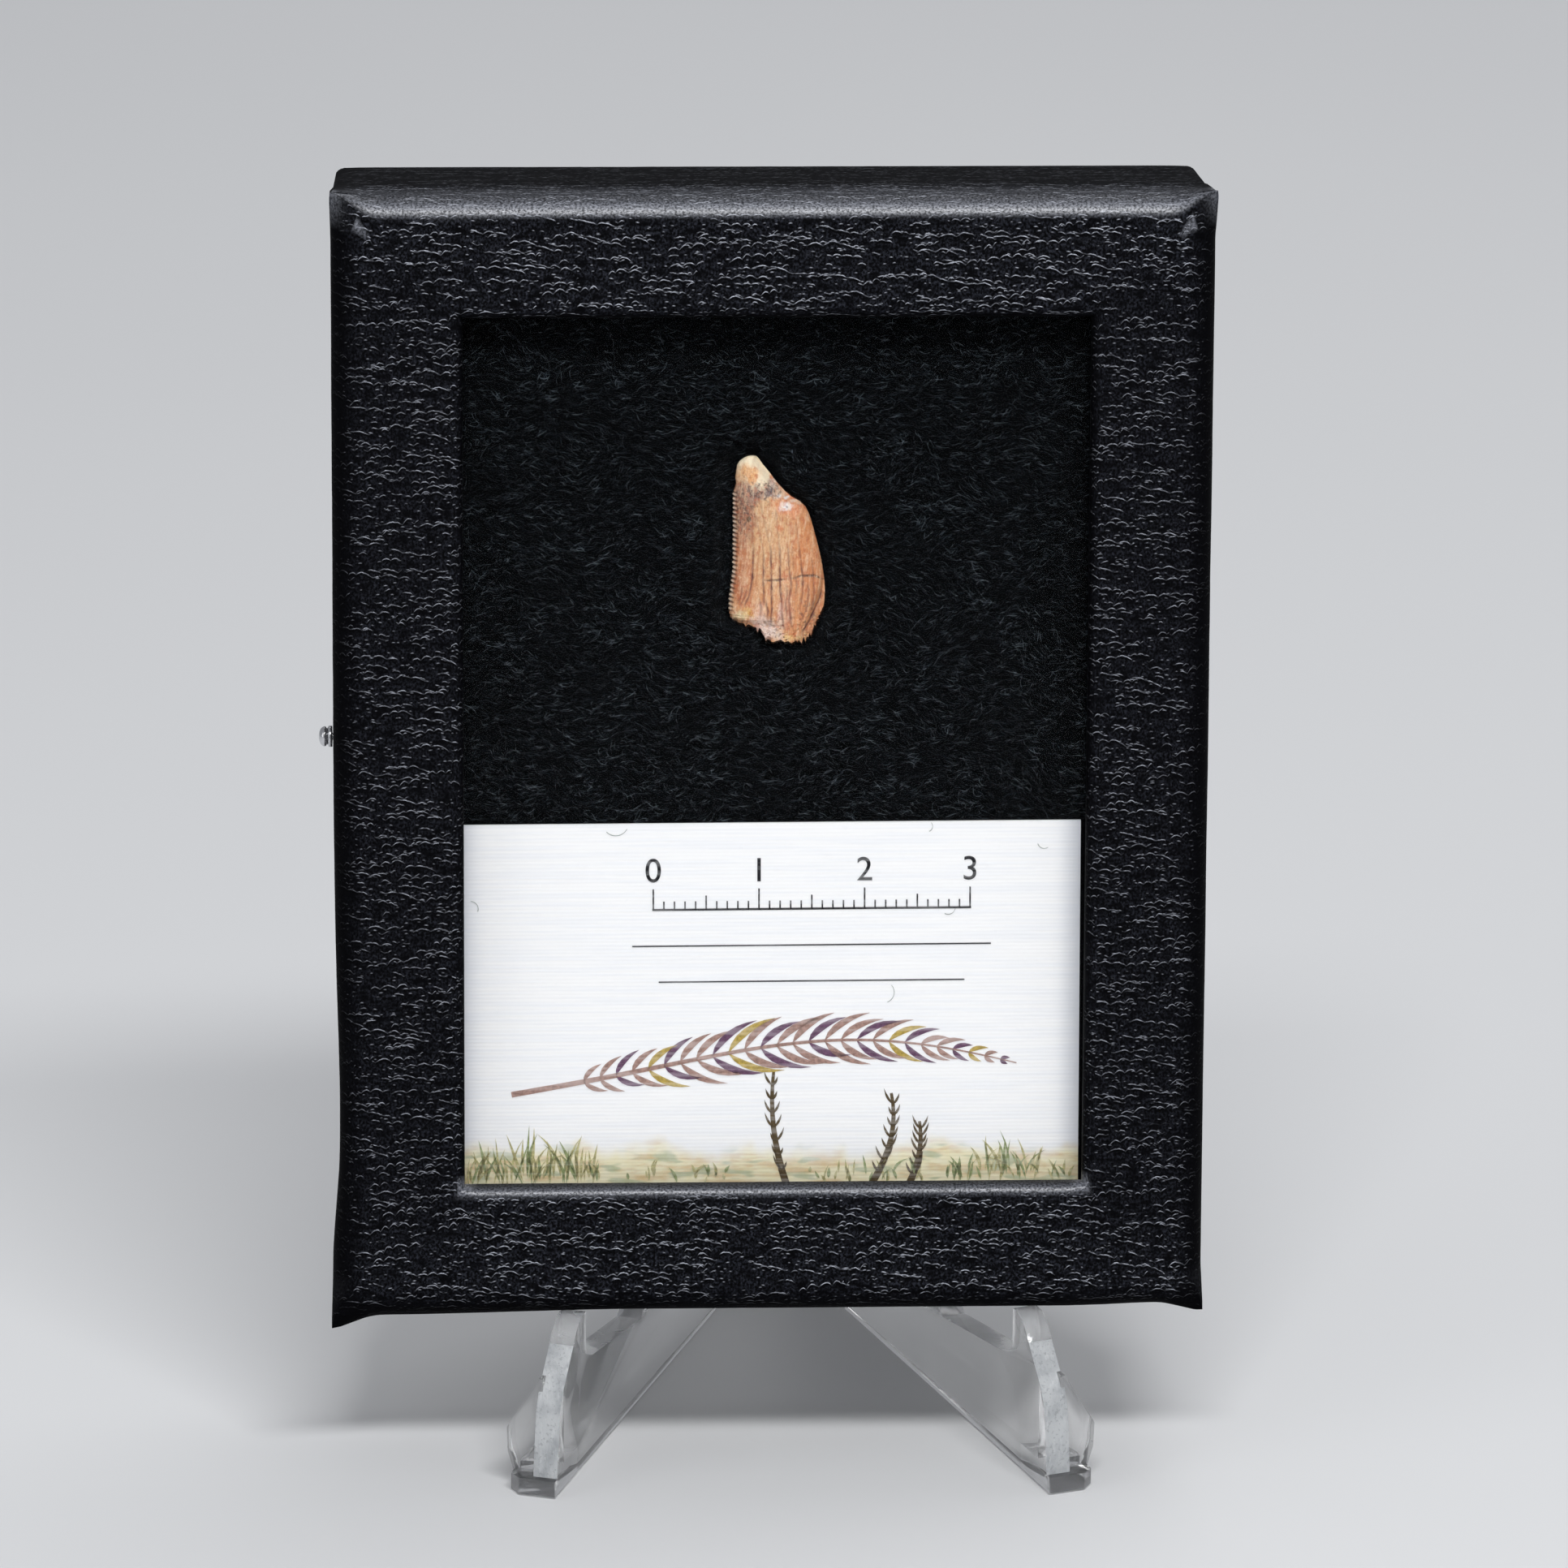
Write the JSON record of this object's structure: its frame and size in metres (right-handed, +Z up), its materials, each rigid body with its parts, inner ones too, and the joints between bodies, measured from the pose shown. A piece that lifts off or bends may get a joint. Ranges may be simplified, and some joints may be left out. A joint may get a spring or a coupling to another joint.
{
  "type": "fossil tooth in display case",
  "caption": "Fossil dinosaur tooth on dark wadding above a printed card, in a glazed leather-covered case that leans on a clear folding easel.",
  "frame": {"origin": "middle of the whole part's box, on the surface that the easel stands on", "axes": "+Z up, -Y out of the case's window, +Y towards the easel's hinge, +X to the viewer's right"},
  "size_m": [0.0838, 0.0692, 0.123],
  "materials": {
    "leatherette": "embossed, satin",
    "pane": "clear",
    "black_board": "matt",
    "dark_cotton": "fibrous",
    "white_card": "laid, matt",
    "fossil": "worn enamel, satin",
    "pin_steel": "polished",
    "clear_acrylic": "clear, polished"
  },
  "bodies": {
    "root": {"lid": "leatherette", "glass_pane": "pane", "tray": "black_board", "wadding": "dark_cotton", "label_card": "white_card", "tooth": "fossil", "lid_pin": "pin_steel", "easel_left": "clear_acrylic", "easel_right": "clear_acrylic"}
  },
  "joints": []
}
